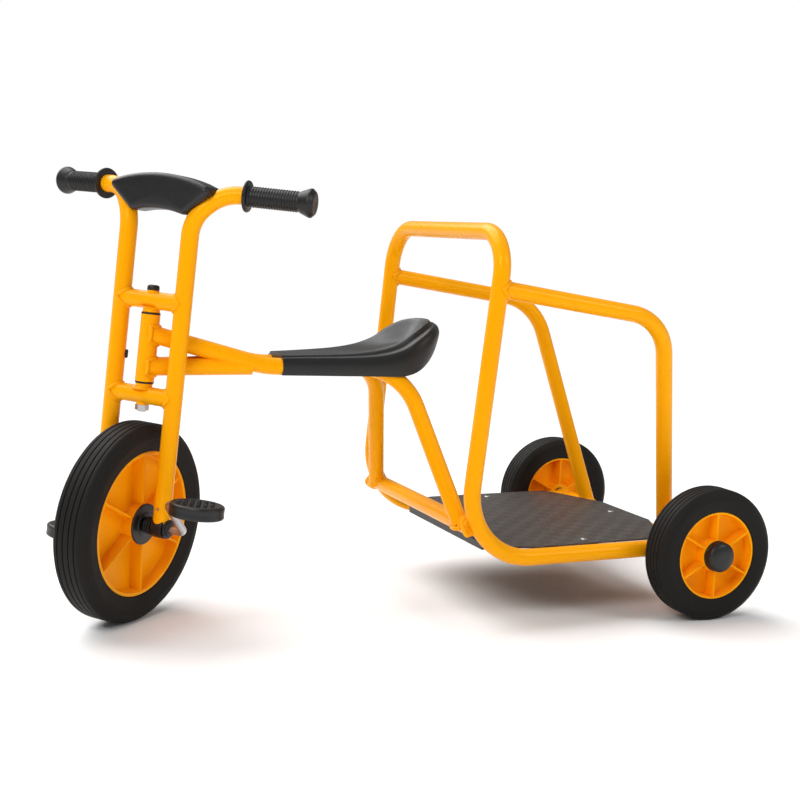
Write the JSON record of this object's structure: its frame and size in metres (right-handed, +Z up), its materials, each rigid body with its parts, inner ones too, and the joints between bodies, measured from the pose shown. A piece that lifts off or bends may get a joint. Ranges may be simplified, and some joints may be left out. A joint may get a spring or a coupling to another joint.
{
  "type": "children's tricycle",
  "caption": "Child's pedal tricycle with a saddle for the rider and a railed standing platform behind for a passenger",
  "frame": {"origin": "middle of the footprint on the floor, with the fork turned against its left stop", "axes": "+X forward, +Y the rider's left, +Z up"},
  "size_m": [1.0961, 0.5734, 0.6744],
  "materials": {
    "frame_paint": "glossy powder coat",
    "black_paint": "satin black paint",
    "wheel_plastic": "moulded, semi-gloss",
    "tyre_rubber": "matt solid rubber",
    "grip_rubber": "satin",
    "black_plastic": "fine moulded grain",
    "bright_steel": "zinc plated",
    "platform_sheet": "anti-slip mesh pattern"
  },
  "bodies": {
    "frame": {"axle_nuts": "bright_steel", "axle_washers": "bright_steel", "carrier_hoop": "frame_paint", "front_bearer": "black_paint", "front_crossbar": "frame_paint", "front_seat_bracket": "black_paint", "head_tube": "frame_paint", "left_handrail": "frame_paint", "left_lower_strut": "frame_paint", "left_main_rail": "frame_paint", "lower_head_bush": "black_plastic", "middle_bearer": "black_paint", "platform_board": "platform_sheet", "platform_screws": "bright_steel", "rear_axle": "bright_steel", "rear_axle_tube": "frame_paint", "rear_seat_bracket": "black_paint", "rear_tab": "frame_paint", "right_handrail": "frame_paint", "right_lower_strut": "frame_paint", "right_main_rail": "frame_paint", "seat": "black_plastic", "seat_screws": "bright_steel", "upper_head_bush": "black_plastic"},
    "fork": {"left_fork_tube": "frame_paint", "right_fork_tube": "frame_paint", "upper_crossbar": "frame_paint", "lower_crossbar": "frame_paint", "handlebar_bridge": "frame_paint", "handlebar_pad": "black_plastic", "pad_screws": "bright_steel", "steering_bolt": "bright_steel", "steering_nut": "bright_steel", "steering_cap": "black_plastic", "steering_saddles": "bright_steel", "left_grip": "grip_rubber", "right_grip": "grip_rubber", "left_bumper": "grip_rubber", "right_bumper": "grip_rubber", "left_axle_block": "black_plastic", "right_axle_block": "black_plastic", "axle_block_pins": "bright_steel"},
    "front_wheel": {"front_tyre": "tyre_rubber", "front_rim": "wheel_plastic", "left_hub_flange": "black_plastic", "right_hub_flange": "black_plastic", "crank_axle": "bright_steel", "pedal_nuts": "bright_steel"},
    "left_pedal": {"left_pedal": "black_plastic", "left_pedal_cap": "black_plastic"},
    "right_pedal": {"right_pedal": "black_plastic", "right_pedal_cap": "black_plastic"},
    "left_rear_wheel": {"left_rear_tyre": "tyre_rubber", "left_rear_rim": "wheel_plastic", "left_rear_bushes": "black_plastic", "left_rear_hub_cap": "black_plastic"},
    "right_rear_wheel": {"right_rear_tyre": "tyre_rubber", "right_rear_rim": "wheel_plastic", "right_rear_bushes": "black_plastic", "right_rear_hub_cap": "black_plastic"}
  },
  "joints": [
    {"name": "steering", "type": "hinge", "parent": "frame", "child": "fork", "pos_m": [0.421, 0, 0.15085], "axis": [-0.0872, 0, 0.9962], "range_deg": [-83.4, 0]},
    {"name": "front_wheel_spin", "type": "hinge", "parent": "fork", "child": "front_wheel", "pos_m": [0.421, 0, 0.15085], "axis": [-0.6627, 0.7466, -0.058], "continuous": true},
    {"name": "left_pedal_spin", "type": "hinge", "parent": "front_wheel", "child": "left_pedal", "pos_m": [0.35812, 0.14176, 0.19416], "axis": [-0.6627, 0.7466, -0.058], "continuous": true},
    {"name": "right_pedal_spin", "type": "hinge", "parent": "front_wheel", "child": "right_pedal", "pos_m": [0.48388, -0.14176, 0.10754], "axis": [-0.6627, 0.7466, -0.058], "continuous": true},
    {"name": "left_rear_wheel_spin", "type": "hinge", "parent": "frame", "child": "left_rear_wheel", "pos_m": [-0.445, 0.244, 0.105], "axis": [0, 1, 0], "continuous": true},
    {"name": "right_rear_wheel_spin", "type": "hinge", "parent": "frame", "child": "right_rear_wheel", "pos_m": [-0.445, -0.244, 0.105], "axis": [0, 1, 0], "continuous": true}
  ]
}
